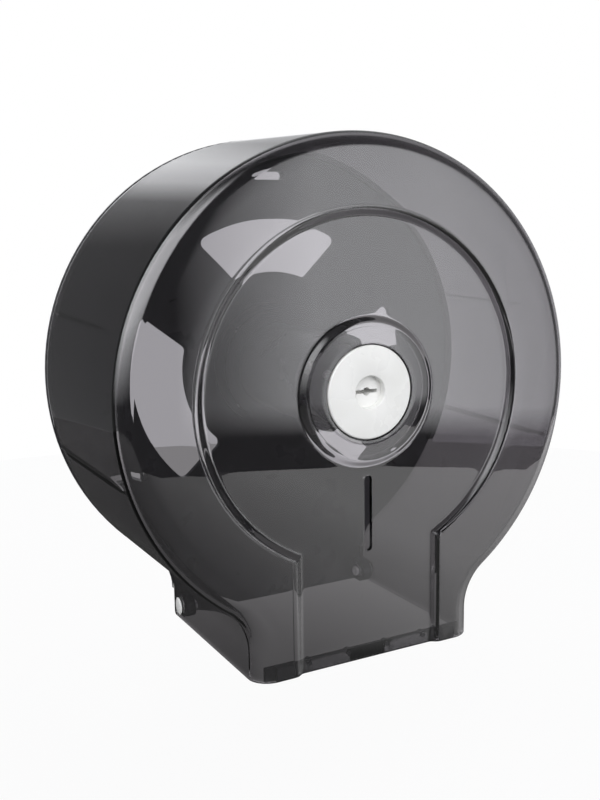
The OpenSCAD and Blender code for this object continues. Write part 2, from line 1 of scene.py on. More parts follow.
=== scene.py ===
"""Looks of a wall-hung dispenser for jumbo toilet rolls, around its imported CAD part.

The casing, the rosette and the hinge pins are made anew as fine meshes, from the same sizes as the part. The
other pieces keep their CAD meshes and get their finishes here. Sizes are in millimetres, meshes in metres.

Shapes are drawn in a lying frame, X right, Y up the wall and Z forward, as in the part's source. hung() turns
that frame into the row frame, where +Z is up the wall and the front faces -Y.
"""

import json
import logging
import math
from dataclasses import dataclass, field
from enum import Enum

import bmesh
import bpy
import numpy as np
from mathutils import Matrix


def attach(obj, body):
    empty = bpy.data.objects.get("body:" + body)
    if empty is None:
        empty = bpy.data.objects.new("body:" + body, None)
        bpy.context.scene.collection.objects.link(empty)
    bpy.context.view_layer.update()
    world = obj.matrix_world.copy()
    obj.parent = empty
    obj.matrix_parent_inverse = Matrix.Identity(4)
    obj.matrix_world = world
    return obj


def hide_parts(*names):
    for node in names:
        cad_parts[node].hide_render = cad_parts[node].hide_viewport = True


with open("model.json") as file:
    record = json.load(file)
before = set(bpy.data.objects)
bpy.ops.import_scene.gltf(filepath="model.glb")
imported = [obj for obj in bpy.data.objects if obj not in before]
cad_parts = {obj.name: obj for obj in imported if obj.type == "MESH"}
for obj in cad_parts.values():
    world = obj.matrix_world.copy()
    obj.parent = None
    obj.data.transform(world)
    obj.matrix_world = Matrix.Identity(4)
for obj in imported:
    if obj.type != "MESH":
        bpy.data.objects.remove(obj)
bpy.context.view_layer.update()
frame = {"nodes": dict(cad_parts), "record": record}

LOG = logging.getLogger("dispenser")
MM = 0.001
MERGE = 0.00001

Colour = tuple[float, float, float]
Socket = bpy.types.NodeSocket


class Body(Enum):
    """Bodies of the part, by the names in the record."""

    BASE = "base"
    SLEEVE = "sleeve"
    COVER = "cover"
    LOCK = "lock"


class Slot(Enum):
    """Material slots of the record."""

    SMOKED = "smoked_plastic"
    DARK = "dark_plastic"
    WHITE = "white_plastic"
    BLACK = "black_plastic"
    RUBBER = "black_rubber"
    ZINC = "zinc_steel"


# Surfaces


def hung(points: np.ndarray) -> np.ndarray:
    """Turns lying points in millimetres into row-frame points in metres: (x, y, z) becomes (x, -z, y).

    Args:
        points: an array whose last axis holds x, y and z.

    Returns:
        An array of the same shape.
    """
    return np.stack([points[..., 0], -points[..., 2], points[..., 1]], axis=-1) * MM


def ramp(t: np.ndarray, softness: float = 0.12) -> np.ndarray:
    """A step from 0 to 1 between t = 0 and t = 1 with softened corners.

    It is half of sqrt(t^2 + s^2) - sqrt((t - 1)^2 + s^2) + 1, with s the softness.

    Args:
        t: where on the step.
        softness: how soft the corners are.

    Returns:
        The height of the step, from 0 to 1.
    """
    soft = softness * softness
    return 0.5 * (np.sqrt(t * t + soft) - np.sqrt((t - 1) ** 2 + soft) + 1)


def turned_in(height: np.ndarray, top: float, radius: float) -> np.ndarray:
    """How far an edge rounded to a radius has turned in at a height below its top.

    Above top - radius it is radius minus the root of radius^2 - (height - top + radius)^2, and 0 below that.

    Args:
        height: distance from the wall.
        top: distance of the edge's flat face from the wall.
        radius: radius of the rounding.

    Returns:
        Distances towards the inside.
    """
    over = np.maximum(height - top + radius, 0)
    return radius - np.sqrt(np.maximum(radius**2 - over**2, 0))


class Surface:
    """Grids of points that together make one mesh."""

    def __init__(self) -> None:
        """Starts with no points."""
        self.points: list[np.ndarray] = []
        self.quads: list[np.ndarray] = []
        self.count = 0

    def grid(self, points: np.ndarray, ring: bool = False, column: bool = False) -> None:
        """Adds a grid whose neighbouring points are joined by quads.

        Args:
            points: an array of rows by columns by 3, in metres.
            ring: True where each row closes on itself.
            column: True where each column closes on itself.
        """
        rows, cols = points.shape[:2]
        down = np.arange(rows if column else rows - 1)[:, None]
        along = np.arange(cols if ring else cols - 1)[None, :]
        low, high = down * cols, (down + 1) % rows * cols
        right = (along + 1) % cols
        quads = np.stack(np.broadcast_arrays(low + along, low + right, high + right, high + along), axis=-1)
        self.quads.append(quads.reshape(-1, 4) + self.count)
        self.points.append(points.reshape(-1, 3))
        self.count += rows * cols

    def mesh(self, name: str, sharp: float = 32) -> bpy.types.Mesh:
        """Joins the grids where they meet and turns their faces outwards.

        Args:
            name: name of the mesh.
            sharp: angle in degrees past which an edge stays sharp.

        Returns:
            The mesh.
        """
        mesh = bpy.data.meshes.new(name)
        mesh.from_pydata(np.concatenate(self.points), [], np.concatenate(self.quads))
        tidy_mesh(mesh, sharp)
        return mesh


def tidy_mesh(mesh: bpy.types.Mesh, sharp: float) -> None:
    """Merges doubled points, drops empty faces, turns faces outwards and marks the sharp edges.

    Args:
        mesh: the mesh to change.
        sharp: angle in degrees past which an edge stays sharp.
    """
    work = bmesh.new()
    work.from_mesh(mesh)
    bmesh.ops.remove_doubles(work, verts=work.verts, dist=MERGE)
    bmesh.ops.dissolve_degenerate(work, dist=MERGE * 0.1, edges=work.edges)
    bmesh.ops.recalc_face_normals(work, faces=work.faces)
    open_edges = sum(1 for edge in work.edges if len(edge.link_faces) != 2)
    work.to_mesh(mesh)
    work.free()
    mesh.shade_smooth()
    mesh.set_sharp_from_angle(angle=math.radians(sharp))
    if open_edges:
        LOG.warning("%s has %d edges that don't join two faces", mesh.name, open_edges)


def lathe(profile: np.ndarray, steps: int) -> np.ndarray:
    """Turns a profile round the lying frame's Z axis: x = r cos a, y = r sin a, z = the profile's height.

    Args:
        profile: an array of radius and height, one row a point.
        steps: points round the axis.

    Returns:
        An array of points by steps by 3, in millimetres.
    """
    angle = np.linspace(0, 2 * np.pi, steps, endpoint=False)
    radius, height = profile[:, 0:1], profile[:, 1:2]
    around = np.broadcast_arrays(radius * np.cos(angle), radius * np.sin(angle), height + 0 * angle)
    return np.stack(around, axis=-1)


def corner(x: float, y: float, radius: float, start: float, end: float, steps: int = 5) -> np.ndarray:
    """Points of an arc for a profile: x + r cos a, y + r sin a.

    Args:
        x: centre's first coordinate.
        y: centre's second coordinate.
        radius: radius of the arc.
        start: first angle in degrees.
        end: last angle in degrees.
        steps: number of spans.

    Returns:
        An array of points.
    """
    angle = np.radians(np.linspace(start, end, steps + 1))
    return np.stack([x + radius * np.cos(angle), y + radius * np.sin(angle)], axis=-1)


def placed(name: str, data: bpy.types.ID) -> bpy.types.Object:
    """Puts data into the scene as an object.

    Args:
        name: name of the object.
        data: a mesh or a camera.

    Returns:
        The new object.
    """
    obj = bpy.data.objects.new(name, data)
    bpy.context.scene.collection.objects.link(obj)
    return obj


def piece(mesh: bpy.types.Mesh, body: Body, slot: Slot, palette: "Palette", node: str) -> None:
    """Puts a finished mesh into the scene as a piece on a body, with its finish.

    Args:
        mesh: the mesh, in its place in the row frame.
        body: the body that it moves with.
        slot: the material slot that it belongs to.
        palette: the finishes.
        node: the CAD node that it stands for.
    """
    obj = placed(mesh.name, mesh)
    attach(obj, body.value)
    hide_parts(node)
    palette.dress(obj, slot)
    LOG.info("%s: %d faces on %s", obj.name, len(mesh.polygons), body.value)


def cut_away(mesh: bpy.types.Mesh, cutter: bpy.types.Mesh, sharp: float) -> bpy.types.Mesh:
    """Takes a closed cutter out of a closed mesh.

    Args:
        mesh: the mesh to cut.
        cutter: what is taken away.
        sharp: angle in degrees past which an edge stays sharp.

    Returns:
        A new mesh with the name of the first.
    """
    target, tool = placed("cut_target", mesh), placed("cut_tool", cutter)
    boolean = target.modifiers.new("cut", "BOOLEAN")
    boolean.object, boolean.operation, boolean.solver = tool, "DIFFERENCE", "EXACT"
    graph = bpy.context.evaluated_depsgraph_get()
    result = bpy.data.meshes.new_from_object(target.evaluated_get(graph))
    name = mesh.name
    for obj in (target, tool):
        bpy.data.objects.remove(obj)
    bpy.data.meshes.remove(mesh)
    bpy.data.meshes.remove(cutter)
    result.name = name
    result.materials.clear()
    tidy_mesh(result, sharp)
    return result


# Shader node groups


class Graph:
    """A node tree that nodes are added to from left to right."""

    def __init__(self, tree: bpy.types.NodeTree) -> None:
        """Takes the tree that is built up.

        Args:
            tree: a material's, world's or group's tree.
        """
        self.tree = tree
        self.across = 0

    def node(self, kind: str, **settings: object) -> bpy.types.Node:
        """Adds a node.

        Args:
            kind: the node's type.
            settings: values of its own properties.

        Returns:
            The node.
        """
        made = self.tree.nodes.new(kind)
        made.location = (self.across, 0)
        self.across += 180
        for key, value in settings.items():
            setattr(made, key, value)
        return made

    def link(self, source: Socket, target: Socket) -> None:
        """Joins two sockets.

        Args:
            source: an output.
            target: an input.
        """
        self.tree.links.new(source, target)

    def feed(self, value: Socket | float | Colour, target: Socket) -> None:
        """Gives an input its value.

        Args:
            value: a socket that is linked, or a number or colour that is set.
            target: the input.
        """
        if isinstance(value, bpy.types.NodeSocket):
            self.link(value, target)
        else:
            target.default_value = (*value, 1) if isinstance(value, tuple) else value

    def math(self, operation: str, *values: Socket | float) -> Socket:
        """Adds a Math node.

        Args:
            operation: its operation.
            values: its inputs, sockets or numbers.

        Returns:
            Its output.
        """
        made = self.node("ShaderNodeMath", operation=operation)
        for slot, value in zip(made.inputs, values):
            self.feed(value, slot)
        return made.outputs[0]

    def mix(self, share: Socket, low: Socket | Colour, high: Socket | Colour, blend: str = "MIX") -> Socket:
        """Mixes two colours.

        Args:
            share: share of the second one.
            low: the first colour.
            high: the second one.
            blend: how they are blended.

        Returns:
            The colour.
        """
        made = self.node("ShaderNodeMix", data_type="RGBA", blend_type=blend)
        for number, value in ((0, share), (6, low), (7, high)):
            self.feed(value, made.inputs[number])
        return made.outputs[2]

    def bump(self, height: Socket, depth: float) -> Socket:
        """Adds a Bump node.

        Args:
            height: the height.
            depth: its depth in metres.

        Returns:
            The normal.
        """
        made = self.node("ShaderNodeBump")
        made.inputs["Distance"].default_value = depth
        self.link(height, made.inputs["Height"])
        return made.outputs[0]

    def finish(self, share: Socket, low: Socket, high: Socket) -> None:
        """Mixes two shaders into the material's output.

        Args:
            share: share of the second one.
            low: the first shader.
            high: the second one.
        """
        made = self.node("ShaderNodeMixShader")
        for slot, value in zip(made.inputs, (share, low, high)):
            self.link(value, slot)
        self.link(made.outputs[0], self.tree.nodes["Material Output"].inputs["Surface"])

    def noise(self, where: Socket, scale: Socket | float, detail: float = 3) -> Socket:
        """Adds a Noise Texture.

        Args:
            where: the point that it is read at.
            scale: waves a metre.
            detail: how many finer layers it has.

        Returns:
            Its value from 0 to 1.
        """
        made = self.node("ShaderNodeTexNoise")
        for name, value in (("Detail", detail), ("Vector", where), ("Scale", scale)):
            self.feed(value, made.inputs[name])
        return made.outputs[0]

    def span(
        self, value: Socket, low: Socket | float, high: Socket | float, start: float = 0, end: float = 1
    ) -> Socket:
        """Carries a value between start and end over to low and high.

        Args:
            value: the value.
            low: what start becomes.
            high: what end becomes.
            start: lowest value read.
            end: highest value read.

        Returns:
            The new value.
        """
        made = self.node("ShaderNodeMapRange")
        for slot, part in zip(made.inputs, (value, start, end, low, high)):
            self.feed(part, slot)
        return made.outputs[0]


def new_material(name: str) -> tuple[bpy.types.Material, Graph, bpy.types.Node]:
    """Makes a material with a Principled BSDF.

    Args:
        name: name of the material.

    Returns:
        The material, its graph and its Principled BSDF.
    """
    material = bpy.data.materials.new(name)
    material.use_nodes = True
    return material, Graph(material.node_tree), material.node_tree.nodes["Principled BSDF"]


def new_group(
    name: str, values: dict[str, float], outputs: tuple[str, ...], colours: tuple[str, ...] = ()
) -> tuple[Graph, bpy.types.NodeOutputs, bpy.types.NodeInputs]:
    """Makes an empty shader node group that is read at a point.

    Args:
        name: name of the group.
        values: its number inputs, with their defaults.
        outputs: its outputs; the one named Colour is a colour, and the others are numbers.
        colours: its colour inputs.

    Returns:
        The group's graph, what it is given, and what it puts out.
    """
    tree = bpy.data.node_groups.new(name, "ShaderNodeTree")
    tree.interface.new_socket(name="Point", in_out="INPUT", socket_type="NodeSocketVector")
    for key in colours:
        tree.interface.new_socket(name=key, in_out="INPUT", socket_type="NodeSocketColor")
    for key, value in values.items():
        made = tree.interface.new_socket(name=key, in_out="INPUT", socket_type="NodeSocketFloat")
        made.default_value = value
    for key in outputs:
        kind = "NodeSocketColor" if key == "Colour" else "NodeSocketFloat"
        tree.interface.new_socket(name=key, in_out="OUTPUT", socket_type=kind)
    graph = Graph(tree)
    return graph, graph.node("NodeGroupInput").outputs, graph.node("NodeGroupOutput").inputs


def moulded_grain() -> bpy.types.NodeTree:
    """Fine grain of a moulded plastic: a height of two noises, and a roughness that follows the coarser one.

    Returns:
        The group, with the outputs Height and Roughness.
    """
    values = {"Scale": 900, "Roughness Low": 0.3, "Roughness High": 0.4}
    graph, given, out = new_group("moulded_grain", values, ("Height", "Roughness"))
    fine = graph.noise(given["Point"], given["Scale"], 2)
    coarse = graph.noise(given["Point"], graph.math("MULTIPLY", given["Scale"], 0.06), 4)
    graph.link(graph.math("ADD", graph.math("MULTIPLY", coarse, 0.4), fine), out["Height"])
    rough = graph.span(coarse, given["Roughness Low"], given["Roughness High"], 0.35, 0.65)
    graph.link(rough, out["Roughness"])
    return graph.tree


def handling_marks() -> bpy.types.NodeTree:
    """Faint smears and dust of use: broad soft patches that change the roughness and the colour a little.

    Returns:
        The group, with the outputs Colour and Roughness.
    """
    values = {"Scale": 18, "Roughness Low": 0.1, "Roughness High": 0.2}
    graph, given, out = new_group("handling_marks", values, ("Colour", "Roughness"), ("Clean", "Worn"))
    broad = graph.noise(given["Point"], given["Scale"], 5)
    share = graph.span(broad, 0.0, 1.0, 0.42, 0.72)
    graph.link(graph.mix(share, given["Clean"], given["Worn"]), out["Colour"])
    graph.link(graph.span(share, given["Roughness Low"], given["Roughness High"]), out["Roughness"])
    return graph.tree


def drawn_lines() -> bpy.types.NodeTree:
    """Fine lines of drawn or turned metal: a noise stretched along Y, in the height and the roughness.

    Returns:
        The group, with the outputs Height and Roughness.
    """
    values = {"Scale": 500, "Roughness Low": 0.2, "Roughness High": 0.4}
    graph, given, out = new_group("drawn_lines", values, ("Height", "Roughness"))
    stretch = graph.node("ShaderNodeMapping")
    stretch.inputs["Scale"].default_value = (1, 0.06, 1)
    graph.link(given["Point"], stretch.inputs["Vector"])
    lines = graph.noise(stretch.outputs[0], given["Scale"], 4)
    graph.link(lines, out["Height"])
    rough = graph.span(lines, given["Roughness Low"], given["Roughness High"], 0.3, 0.7)
    graph.link(rough, out["Roughness"])
    return graph.tree


GROUPS = {"grain": moulded_grain, "marks": handling_marks, "lines": drawn_lines}


def placed_group(graph: Graph, key: str, values: dict[str, float | Colour]) -> bpy.types.Node:
    """Puts a shared group into a material, read at the piece's Object coordinates.

    Args:
        graph: the material's graph.
        key: which group.
        values: its inputs.

    Returns:
        The group's node.
    """
    tree = bpy.data.node_groups.get(GROUPS[key].__name__) or GROUPS[key]()
    where = graph.node("ShaderNodeTexCoord")
    made = graph.node("ShaderNodeGroup", node_tree=tree)
    graph.link(where.outputs["Object"], made.inputs["Point"])
    for name, value in values.items():
        graph.feed(value, made.inputs[name])
    return made


# Finishes


@dataclass(frozen=True)
class Moulded:
    """Opaque moulded plastic or rubber with fine grain and faint marks of use."""

    name: str
    colour: Colour
    worn: Colour
    roughness: tuple[float, float]
    grain: float = 900
    depth: float = 0.00002
    marks: float = 18

    def material(self) -> bpy.types.Material:
        """Builds the material.

        Returns:
            The material.
        """
        material, graph, shader = new_material(self.name)
        low, high = self.roughness
        grained = {"Scale": self.grain, "Roughness Low": 0.0, "Roughness High": high - low}
        grain = placed_group(graph, "grain", grained)
        worn = {"Clean": self.colour, "Worn": self.worn, "Scale": self.marks}
        marks = placed_group(graph, "marks", {**worn, "Roughness Low": low, "Roughness High": high})
        graph.link(marks.outputs["Colour"], shader.inputs["Base Color"])
        rough = graph.math("ADD", marks.outputs["Roughness"], grain.outputs["Roughness"])
        graph.link(rough, shader.inputs["Roughness"])
        graph.link(graph.bump(grain.outputs["Height"], self.depth), shader.inputs["Normal"])
        return material


@dataclass(frozen=True)
class Smoked:
    """Clear smoked plastic: tinted glass that lets light through to what is inside.

    Its tint darkens from face on to edge on, as light has a longer way through the wall at a slant: it is
    multiplied by the slanted tint, by the share Facing^2. Its roughness is 0 but for the most worn patches.
    """

    name: str
    tint: Colour
    shadow_tint: Colour
    roughness: tuple[float, float]
    slanted: Colour
    ior: float = 1.58
    worn_share: float = 0.97
    marks: float = 9.0

    def material(self) -> bpy.types.Material:
        """Builds the material.

        Returns:
            The material.
        """
        material, graph, shader = new_material(self.name)
        low, high = self.roughness
        worn = tuple(self.worn_share * part for part in self.tint)
        colours = {"Clean": self.tint, "Worn": worn, "Scale": self.marks}
        marks = placed_group(graph, "marks", {**colours, "Roughness Low": low, "Roughness High": high})
        slant = graph.node("ShaderNodeLayerWeight")
        slant.inputs["Blend"].default_value = 0.5
        share = graph.math("POWER", slant.outputs["Facing"], 2.0)
        darker = graph.mix(share, marks.outputs["Colour"], self.slanted, "MULTIPLY")
        graph.link(darker, shader.inputs["Base Color"])
        graph.link(graph.math("MAXIMUM", marks.outputs["Roughness"], 0.0), shader.inputs["Roughness"])
        shader.inputs["Transmission Weight"].default_value = 1
        shader.inputs["IOR"].default_value = self.ior
        clear = graph.node("ShaderNodeBsdfTransparent")
        clear.inputs["Color"].default_value = (*self.shadow_tint, 1)
        path = graph.node("ShaderNodeLightPath")
        graph.finish(path.outputs["Is Shadow Ray"], shader.outputs[0], clear.outputs[0])
        return material


@dataclass(frozen=True)
class Plated:
    """Zinc-plated steel with fine drawn lines."""

    name: str
    colour: Colour
    worn: Colour
    roughness: tuple[float, float]
    lines: float = 500
    depth: float = 0.00001
    marks: float = 60.0

    def material(self) -> bpy.types.Material:
        """Builds the material.

        Returns:
            The material.
        """
        material, graph, shader = new_material(self.name)
        low, high = self.roughness
        drawn = {"Scale": self.lines, "Roughness Low": low, "Roughness High": high}
        lines = placed_group(graph, "lines", drawn)
        marks = placed_group(graph, "marks", {"Clean": self.colour, "Worn": self.worn, "Scale": self.marks})
        graph.link(marks.outputs["Colour"], shader.inputs["Base Color"])
        graph.link(lines.outputs["Roughness"], shader.inputs["Roughness"])
        graph.link(graph.bump(lines.outputs["Height"], self.depth), shader.inputs["Normal"])
        shader.inputs["Metallic"].default_value = 1
        return material


FINISHES = {
    Slot.SMOKED: Smoked(
        "clear_smoked_polished", (0.358, 0.345, 0.361), (0.60, 0.59, 0.605), (-0.06, 0.02), (0.5, 0.5, 0.5)
    ),
    Slot.DARK: Moulded(
        "charcoal_moulded_satin", (0.040, 0.039, 0.044), (0.052, 0.051, 0.056), (0.26, 0.38), 1100
    ),
    Slot.WHITE: Moulded(
        "white_moulded_semigloss", (0.84, 0.84, 0.82), (0.80, 0.80, 0.775), (0.2, 0.3), 900, 0.000006, 60
    ),
    Slot.BLACK: Moulded("black_moulded_satin", (0.014, 0.014, 0.016), (0.022, 0.022, 0.024), (0.3, 0.42)),
    Slot.RUBBER: Moulded(
        "black_rubber_matt", (0.013, 0.013, 0.013), (0.024, 0.024, 0.024), (0.6, 0.8), marks=90
    ),
    Slot.ZINC: Plated("zinc_plated_bright", (0.62, 0.63, 0.65), (0.52, 0.52, 0.53), (0.22, 0.4)),
}


@dataclass
class Palette:
    """The materials of the dispenser, one for each slot, each built at its first use."""

    made: dict[Slot, bpy.types.Material] = field(default_factory=dict)

    def dress(self, obj: bpy.types.Object, slot: Slot) -> None:
        """Gives a piece the one material of its slot.

        Args:
            obj: the piece.
            slot: its slot.
        """
        if slot not in self.made:
            self.made[slot] = FINISHES[slot].material()
        obj.data.materials.clear()
        obj.data.materials.append(self.made[slot])


# Sub-assemblies


@dataclass
class Casing:
    """The smoked cover: a drum with a mouth below it, a sunk panel in its front and a collar for the lock.

    Rows on the slopes start and end a little outside them, at the shares in slope_rows.
    """

    drum_r: float = 135.0
    depth: float = 128.0
    wall: float = 2.6
    draft: float = 3.8
    edge_r: float = 8.0
    corner_r: float = 12.0
    mouth_half: float = 66.3
    mouth_low: float = -150.3
    mouth_rise: float = 5.3
    neck_r: float = 30.0
    back: float = 2.6
    edge_soft: float = 0.5
    arch_r: float = 93.3
    arch_half: float = 43.0
    step_h: float = 2.5
    step_w: float = 3.4
    collar_r: float = 39.4
    collar_slope: float = 3.2
    collar_h: float = 2.7
    crown: float = 0.6
    seat_r: float = 25.2
    seat_z: float = 126.4
    hole_r: float = 13.1
    hollow_r: float = 33.6
    hollow_z: float = 124.2
    slot_w: float = 4.5
    slot_len: float = 41.0
    slot_top: float = -44.4
    bore_r: float = 4.05
    hinge_y: float = -141.5
    hinge_z: float = 13.0
    heel_r: float = 4.0
    line_angle: float = 16.5
    line_depth: float = 0.22
    line_half: float = 0.22
    line_fade: float = 4.0
    slope_rows: tuple[float, float] = (-0.6, 1.6)
    collar_soft: float = 0.06
    seat_edge: float = 0.3
    inner_step_w: float = 0.8
    panel_end: float = 48.5
    seat_mid: float = 20.0
    hollow_mid: float = 24.0
    side_rows: tuple[float, ...] = (8, 20, 36, 52, 68, 84, 100)
    cut_over: float = 3.0

    @property
    def panel_z(self) -> float:
        """Distance from the wall to the sunk panel.

        Returns:
            The distance in millimetres.
        """
        return self.depth - self.step_h

    @property
    def border_in(self) -> float:
        """Distance from the wall to the border's inner face.

        Returns:
            The distance in millimetres.
        """
        return self.depth - self.wall

    @property
    def panel_in(self) -> float:
        """Distance from the wall to the panel's inner face.

        Returns:
            The distance in millimetres.
        """
        return self.panel_z - self.wall

    @property
    def inner_out(self) -> float:
        """How far the inner face's step lies outside the outer one.

        Returns:
            The width in millimetres.
        """
        return self.wall / 2 + 0.4

    def low(self, height: np.ndarray) -> np.ndarray:
        """Height of the mouth's edge, which rises evenly from the wall to the front.

        Args:
            height: distance from the wall.

        Returns:
            The edge's Y.
        """
        return self.mouth_low + self.mouth_rise * height / self.depth

    def angles(self) -> np.ndarray:
        """Directions of the rays on the drum that stay the same at every height, in degrees.

        Returns:
            Even steps, with narrow pairs round the four fine lines along the sides.
        """
        even = np.arange(-39.0, 219.1, 1.5)
        marks = np.array([-self.line_angle, self.line_angle, 180 - self.line_angle, 180 + self.line_angle])
        extra = (marks[:, None] + np.array([-1, 1]) * self.line_half).ravel()
        return np.sort(np.concatenate([even, extra]))

    def outline(self, radius: np.ndarray, half: np.ndarray, neck: float, low: np.ndarray) -> np.ndarray:
        """Outline of the casing from the mouth's right edge over the drum to its left edge, at many heights.

        The neck's circle touches the mouth's side and the drum: its centre lies at half + neck sideways and
        radius + neck from the axis. The drum's arc runs between the two points where the necks touch it.

        Args:
            radius: radius of the drum at each height.
            half: half width of the mouth at each height.
            neck: radius of the hollow neck.
            low: Y of the mouth's edge at each height.

        Returns:
            An array of heights by rays by 2.
        """
        radius, half, low = (np.atleast_1d(value)[:, None] for value in (radius, half, low))
        centre_x = half + neck
        centre_y = -np.sqrt((radius + neck) ** 2 - centre_x**2)
        touch = np.degrees(np.arctan2(centre_y, centre_x))
        side = np.linspace(0, 1, 8)[None, :-1]
        side_y = low + (centre_y - low) * side
        curl = np.radians(180 + touch * np.linspace(0, 1, 17)[None, :-1])
        even = self.angles()[None, :]
        join = np.linspace(0, 1, 11)[None, :-1]
        arc = np.radians(np.concatenate([touch + (even[:, :1] - touch) * join, even + 0 * touch], axis=1))
        half_x = [half + 0 * side, centre_x + neck * np.cos(curl), radius * np.cos(arc)]
        half_x = np.concatenate(half_x, axis=1)
        half_y = np.concatenate([side_y, centre_y + neck * np.sin(curl), radius * np.sin(arc)], axis=1)
        top = np.count_nonzero(self.angles() <= 90.0)
        keep = half_x.shape[1] - len(self.angles()) + top
        right = np.stack([half_x[:, :keep], half_y[:, :keep]], axis=-1)
        left = right[:, -2::-1] * np.array([-1, 1])
        return np.concatenate([right, left], axis=1)

    def heights(self, inset: float) -> np.ndarray:
        """Heights of the side walls' rows: straight ones, and then by equal turns of the corner's rounding.

        Args:
            inset: 0 for the outer face, the wall's thickness for the inner one.

        Returns:
            Distances from the wall.
        """
        straight = np.array([self.back + self.edge_soft, *self.side_rows])
        turn = (self.corner_r - inset) * np.sin(np.radians(np.arange(0, 90.1, 5)))
        return np.concatenate([straight, self.depth - self.corner_r + turn])

    def side(self, inset: float) -> np.ndarray:
        """One face of the side walls: the outline at each height, drawn in by the roundings and the inset.

        Args:
            inset: 0 for the outer face, the wall's thickness for the inner one.

        Returns:
            An array of heights by rays by 3.
        """
        height = self.heights(inset)
        top = self.depth - inset
        radius = self.drum_r - self.draft * height / self.depth - inset
        radius = radius - turned_in(height, top, self.edge_r - inset)
        half = self.mouth_half - inset - turned_in(height, top, self.corner_r - inset)
        flat = self.outline(radius, half, self.neck_r + inset, self.low(height) + self.edge_soft)
        if inset == 0:
            angle = np.degrees(np.arctan2(flat[..., 1], flat[..., 0]))
            lined = np.abs(np.abs(np.abs(angle) - 90) - (90 - self.line_angle)) < 0.01
            fade = np.clip((self.depth - self.corner_r - height) / self.line_fade, 0, 1)[:, None]
            flat = flat * (1 - lined * fade * self.line_depth / self.drum_r)[..., None]
        return np.concatenate([flat, np.broadcast_to(height[:, None, None], (*flat.shape[:2], 1))], axis=-1)

    def panel_reach(
        self, way: np.ndarray, share: np.ndarray, radius: float, half: float, width: float
    ) -> np.ndarray:
        """How far from the axis a ray crosses a share of the sloping edge of the arch.

        On the round part it is radius - width * share. Below the axis the straight sides count where they
        reach further: (half - width * share) over the ray's sideways part.

        Args:
            way: unit directions of the rays, an array of rays by 2.
            share: shares of the slope, 0 at its outer edge.
            radius: the arch's radius.
            half: half width of its straight sides.
            width: width of the slope.

        Returns:
            An array of shares by rays.
        """
        share = share[:, None]
        sideways = np.maximum(np.abs(way[:, 0]), 0.001)[None, :]
        straight = np.where(way[:, 1] < 0, (half - width * share) / sideways, 0)
        return np.maximum(radius - width * share, straight)

    def panel_share(self, flat: np.ndarray, radius: float, half: float, width: float) -> np.ndarray:
        """Share of the arch's sloping edge at points of the front: the same formula, the other way round.

        Args:
            flat: points, an array with x and y last.
            radius: the arch's radius.
            half: half width of its straight sides.
            width: width of the slope.

        Returns:
            The shares.
        """
        round_part = (radius - np.linalg.norm(flat, axis=-1)) / width
        straight = np.where(flat[..., 1] < 0, (half - np.abs(flat[..., 0])) / width, -9)
        return np.maximum(round_part, straight)

    def front(self, outer_rim: np.ndarray, inner_rim: np.ndarray) -> np.ndarray:
        """The front, from its outer rim in to the lock's hole and out again along its inner face.

        Each ray runs from the axis to the rim. Rows lie evenly between the border, the arch's slope and the
        collar's slope, and closely on the slopes. The outer height is the border's, less the step times the
        ramp of the arch's share, plus the collar times the ramp of its own share. The collar's top falls a
        little from the lock's seat outwards. The inner face stands into the drum inside a narrow wall that
        follows the arch.

        Args:
            outer_rim: the rim's outer points, rays by 3.
            inner_rim: its inner points, rays by 3.

        Returns:
            An array of rows by rays by 3.
        """
        far = np.linalg.norm(outer_rim[:, :2], axis=1)
        way = outer_rim[:, :2] / far[:, None]
        slope = np.linspace(*self.slope_rows, 12)
        reach = np.minimum(self.panel_reach(way, slope, self.arch_r, self.arch_half, self.step_w), far)
        border = far + (reach[0] - far) * np.linspace(0, 1, 5)[:-1, None]
        collar = (self.collar_r - self.collar_slope * slope)[:, None] + 0 * far
        panel = reach[-1] + (collar[0] - reach[-1]) * np.linspace(0, 1, 14)[1:-1, None]
        edge = self.seat_edge
        top = np.linspace(collar[-1], self.seat_r + edge + 0 * far, 4)[1:]
        rows = np.concatenate([border, reach, panel, collar, top])
        flat = rows[..., None] * way
        share = self.panel_share(flat, self.arch_r, self.arch_half, self.step_w)
        height = self.depth - self.step_h * ramp(share)
        top_w = self.collar_r - self.collar_slope - self.seat_r
        fall = self.crown * np.clip((rows - self.seat_r) / top_w, 0, 1)
        rise = ramp((self.collar_r - rows) / self.collar_slope, self.collar_soft)
        height = height + (self.collar_h - fall) * rise
        outer = np.concatenate([flat, height[..., None]], axis=-1)

        rim_top = self.panel_z + self.collar_h
        lip = corner(self.seat_r + edge, rim_top - edge, edge, 90, 180, 3)[1:]
        hole = np.concatenate(
            [
                lip,
                [[self.seat_r, self.seat_z], [self.seat_mid, self.seat_z], [self.hole_r, self.seat_z]],
                [[self.hole_r, self.hollow_z], [self.hollow_mid, self.hollow_z]],
                [[self.hollow_r, self.hollow_z]],
                [[self.hollow_r, self.panel_in]],
            ]
        )
        levels = np.broadcast_to(hole[:, 1:, None], (len(hole), len(way), 1))
        middle = np.concatenate([hole[:, :1, None] * way[None], levels], axis=-1)

